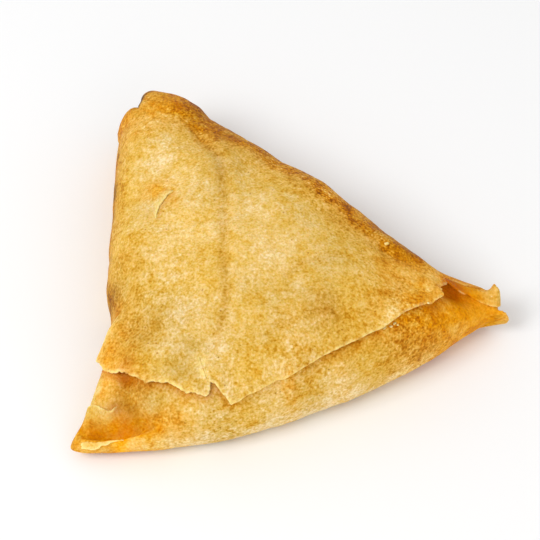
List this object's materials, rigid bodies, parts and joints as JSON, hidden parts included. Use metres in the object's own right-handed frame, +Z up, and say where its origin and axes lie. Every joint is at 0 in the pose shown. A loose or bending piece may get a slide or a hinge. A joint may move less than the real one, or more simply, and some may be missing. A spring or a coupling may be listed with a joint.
{
  "type": "samosa",
  "caption": "Baked folded triangular samosa of thin strip pastry, plump with filling, with a loose torn flap over the top and pinched, half-open front corners.",
  "frame": {"origin": "middle of the bounding box in plan, on the surface the samosa lies on", "axes": "+Z up through the thickness, +Y from the front edge towards the blunt apex, +X towards the half-open right corner"},
  "size_m": [0.0908, 0.0896, 0.0253],
  "materials": {
    "pastry": "baked golden pastry, satin with a slight oily sheen, mottled"
  },
  "bodies": {
    "root": {"samosa": "pastry"}
  },
  "joints": []
}
